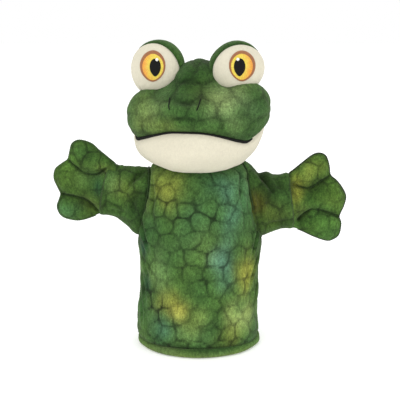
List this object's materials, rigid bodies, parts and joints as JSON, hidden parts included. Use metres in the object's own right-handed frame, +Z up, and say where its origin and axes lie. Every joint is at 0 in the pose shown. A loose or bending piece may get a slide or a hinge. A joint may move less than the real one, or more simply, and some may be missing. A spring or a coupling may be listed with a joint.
{
  "type": "hand puppet",
  "caption": "Plush frog glove puppet: sleeve with a scaled green plush cover, stuffed head with bulging eyes and cream jaw, and stubby three-fingered arms.",
  "frame": {"origin": "middle of the footprint, on the surface that the hem stands on", "axes": "+Z up, the face looks along -Y, the puppet's own left is +X"},
  "size_m": [0.271, 0.1148, 0.281],
  "materials": {
    "green_plush": "short-pile plush, mottled greens with embossed scales",
    "cream_plush": "very short cream plush",
    "lining": "plain woven lining",
    "filling": "loose polyester fibre",
    "black_thread": "satin-stitched thread",
    "dark_thread": "fine sewing thread",
    "white_thread": "satin-stitched thread",
    "iris_thread": "printed and stitched, orange to yellow",
    "iris_rim": "satin-stitched thread"
  },
  "bodies": {
    "body": {"body_front_panel": "green_plush", "body_back_panel": "green_plush", "body_front_lining": "lining", "body_back_lining": "lining", "left_side_seam": "green_plush", "right_side_seam": "green_plush", "left_armhole_seam": "green_plush", "right_armhole_seam": "green_plush", "hem_band": "green_plush", "neck_collar": "green_plush"},
    "neck": {"neck_gusset": "green_plush"},
    "neck_ring": {"neck_seam": "green_plush"},
    "head": {"upper_face_panel": "green_plush", "jaw_panel": "cream_plush", "head_back_panel": "green_plush", "head_filling": "filling", "finger_pocket": "lining", "mouth_stitch": "black_thread", "left_nostril_stitch": "black_thread", "right_nostril_stitch": "black_thread", "left_eye_front": "cream_plush", "left_eye_back": "green_plush", "left_eye_filling": "filling", "left_iris_rim": "iris_rim", "left_iris": "iris_thread", "left_pupil": "black_thread", "left_eye_highlight": "white_thread", "right_eye_front": "cream_plush", "right_eye_back": "green_plush", "right_eye_filling": "filling", "right_iris_rim": "iris_rim", "right_iris": "iris_thread", "right_pupil": "black_thread", "right_eye_highlight": "white_thread"},
    "left_shoulder": {"left_shoulder_gusset": "green_plush"},
    "left_arm": {"left_arm_front_panel": "green_plush", "left_arm_back_panel": "green_plush", "left_arm_lining": "lining", "left_wrist_gusset": "green_plush"},
    "left_hand": {"left_hand_front_panel": "green_plush", "left_hand_back_panel": "green_plush", "left_hand_front_filling": "filling", "left_hand_back_filling": "filling", "left_hand_edge_seam": "dark_thread", "left_upper_finger_stitch": "dark_thread", "left_lower_finger_stitch": "dark_thread"},
    "right_shoulder": {"right_shoulder_gusset": "green_plush"},
    "right_arm": {"right_arm_front_panel": "green_plush", "right_arm_back_panel": "green_plush", "right_arm_lining": "lining", "right_wrist_gusset": "green_plush"},
    "right_hand": {"right_hand_front_panel": "green_plush", "right_hand_back_panel": "green_plush", "right_hand_front_filling": "filling", "right_hand_back_filling": "filling", "right_hand_edge_seam": "dark_thread", "right_upper_finger_stitch": "dark_thread", "right_lower_finger_stitch": "dark_thread"}
  },
  "joints": [
    {"name": "head_tilt", "type": "hinge", "parent": "body", "child": "neck", "pos_m": [0, 0.004, 0.166], "axis": [0, 1, 0], "range_deg": [-10, 10], "deforming": ["neck_gusset"]},
    {"name": "head_turn", "type": "hinge", "parent": "neck", "child": "neck_ring", "pos_m": [0, 0.004, 0.166], "axis": [0, 0, 1], "range_deg": [-40, 40]},
    {"name": "head_nod", "type": "hinge", "parent": "neck_ring", "child": "head", "pos_m": [0, 0.004, 0.166], "axis": [1, 0, 0], "range_deg": [-14, 14]},
    {"name": "left_arm_lift", "type": "hinge", "parent": "body", "child": "left_shoulder", "pos_m": [0.05, 0.004, 0.131], "axis": [0, -1, 0], "range_deg": [-25, 20], "deforming": ["left_shoulder_gusset"]},
    {"name": "left_arm_swing", "type": "hinge", "parent": "left_shoulder", "child": "left_arm", "pos_m": [0.05, 0.004, 0.131], "axis": [0.1045, 0, -0.9945], "range_deg": [-12, 28], "deforming": ["left_shoulder_gusset"]},
    {"name": "left_wrist", "type": "hinge", "parent": "left_arm", "child": "left_hand", "pos_m": [0.0868, 0.004, 0.13487], "axis": [0.1045, 0, -0.9945], "range_deg": [-35, 30], "deforming": ["left_wrist_gusset"]},
    {"name": "right_arm_lift", "type": "hinge", "parent": "body", "child": "right_shoulder", "pos_m": [-0.05, 0.004, 0.131], "axis": [0, 1, 0], "range_deg": [-40, 14], "deforming": ["right_shoulder_gusset"]},
    {"name": "right_arm_swing", "type": "hinge", "parent": "right_shoulder", "child": "right_arm", "pos_m": [-0.05, 0.004, 0.131], "axis": [0.3584, 0, 0.9336], "range_deg": [-12, 28], "deforming": ["right_shoulder_gusset"]},
    {"name": "right_wrist", "type": "hinge", "parent": "right_arm", "child": "right_hand", "pos_m": [-0.08454, 0.004, 0.14426], "axis": [0.2924, 0, 0.9563], "range_deg": [-35, 30], "deforming": ["right_wrist_gusset"]}
  ]
}
